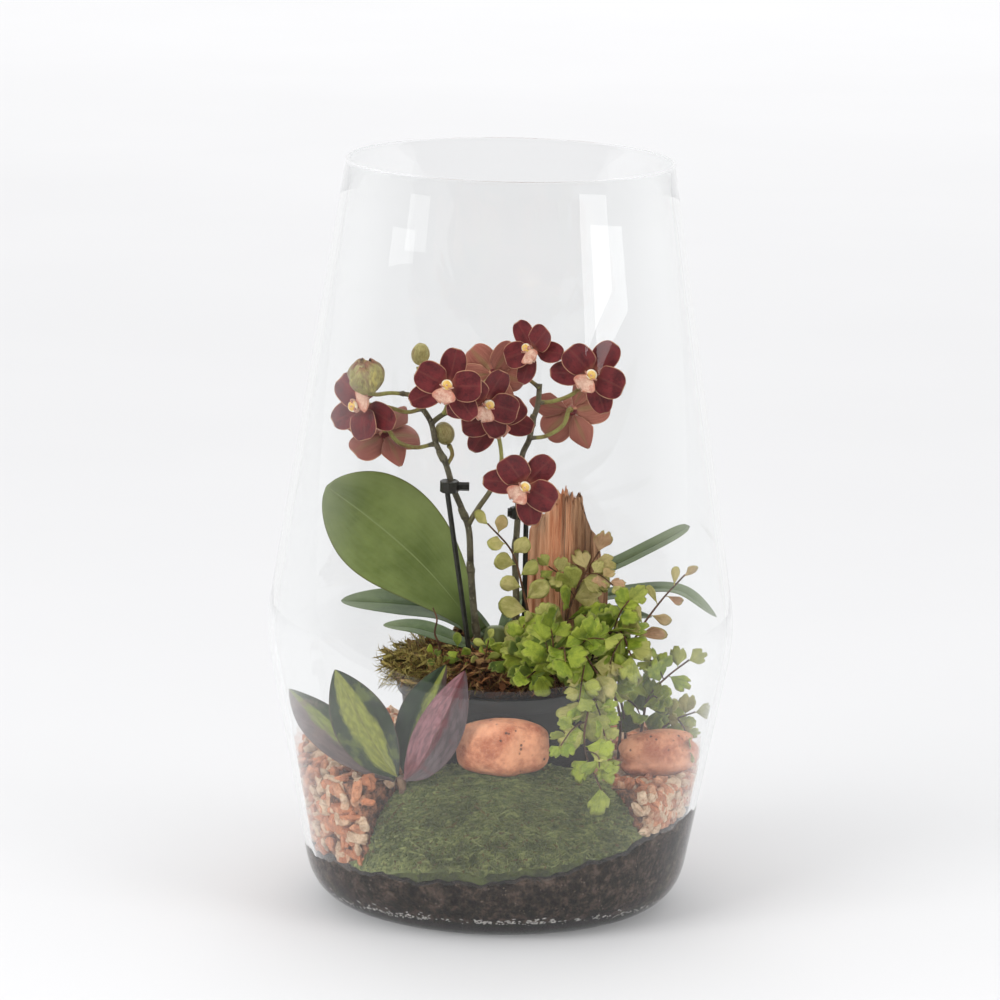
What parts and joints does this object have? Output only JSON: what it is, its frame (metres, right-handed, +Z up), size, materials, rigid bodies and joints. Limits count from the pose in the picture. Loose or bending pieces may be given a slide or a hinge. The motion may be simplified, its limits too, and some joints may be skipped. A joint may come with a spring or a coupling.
{
  "type": "moth orchid terrarium",
  "caption": "Tall shouldered glass vase planted with a moth orchid in bloom, a maidenhair fern and a variegated wax plant, over moss, stone chips and soil.",
  "frame": {"origin": "middle of the vase's flat foot, where it stands on the table", "axes": "+Z up along the vase's axis, -Y towards the front that the picture shows, +X to its right"},
  "size_m": [0.2, 0.2, 0.322],
  "materials": {
    "clear_glass": "gloss",
    "pot_plastic": "satin",
    "dark_soil": "matte",
    "potting_bark": "matte",
    "old_sphagnum": "matte",
    "moss": "matte",
    "stone_chips": "matte",
    "orange_stone": "matte",
    "split_wood": "matte",
    "orchid_leaf": "satin",
    "spike_stem": "satin",
    "black_plastic": "satin",
    "maroon_petal": "satin",
    "pale_lip": "satin",
    "bud_green": "satin",
    "fern_green": "matte",
    "wax_leaf": "satin",
    "wax_leaf_pink": "satin"
  },
  "bodies": {
    "root": {"glass_vase": "clear_glass", "nursery_pot": "pot_plastic", "soil": "dark_soil", "stone_round": "orange_stone", "stone_flat": "orange_stone", "moss_cushion": "moss", "wood_piece": "split_wood", "orchid_crown": "orchid_leaf", "stake_left": "black_plastic", "stake_right": "black_plastic", "spike_left": "spike_stem", "spike_right": "spike_stem", "clip_left": "black_plastic", "clip_right": "black_plastic", "bud_opening": "bud_green", "bud_top": "bud_green", "bud_behind": "bud_green", "wax_stem": "wax_leaf_pink", "wax_leaf_far_left": "wax_leaf", "wax_leaf_left": "wax_leaf", "wax_leaf_middle": "wax_leaf", "wax_leaf_front": "wax_leaf_pink", "stone_chips_left": "stone_chips", "stone_chips_right": "stone_chips", "potting_bark": "potting_bark", "sphagnum_cap": "old_sphagnum", "orchid_leaf_large": "orchid_leaf", "orchid_leaf_left": "orchid_leaf", "orchid_leaf_low_left": "orchid_leaf", "orchid_leaf_high_right": "orchid_leaf", "orchid_leaf_right": "orchid_leaf", "orchid_leaf_low_right": "orchid_leaf", "bloom_left_front_tepals": "maroon_petal", "bloom_left_front_lip": "pale_lip", "bloom_left_back_tepals": "maroon_petal", "bloom_left_back_lip": "pale_lip", "bloom_centre_tepals": "maroon_petal", "bloom_centre_lip": "pale_lip", "bloom_centre_right_tepals": "maroon_petal", "bloom_centre_right_lip": "pale_lip", "bloom_centre_back_tepals": "maroon_petal", "bloom_centre_back_lip": "pale_lip", "bloom_centre_low_tepals": "maroon_petal", "bloom_centre_low_lip": "pale_lip", "bloom_low_tepals": "maroon_petal", "bloom_low_lip": "pale_lip", "bloom_right_top_tepals": "maroon_petal", "bloom_right_top_lip": "pale_lip", "bloom_right_tepals": "maroon_petal", "bloom_right_lip": "pale_lip", "bloom_right_back_tepals": "maroon_petal", "bloom_right_back_lip": "pale_lip", "fern_frond_upright": "fern_green", "fern_frond_tall": "fern_green", "fern_frond_front": "fern_green", "fern_frond_middle": "fern_green", "fern_frond_right": "fern_green", "fern_frond_low_right": "fern_green", "fern_frond_trailing": "fern_green", "fern_frond_by_glass": "fern_green"}
  },
  "joints": []
}
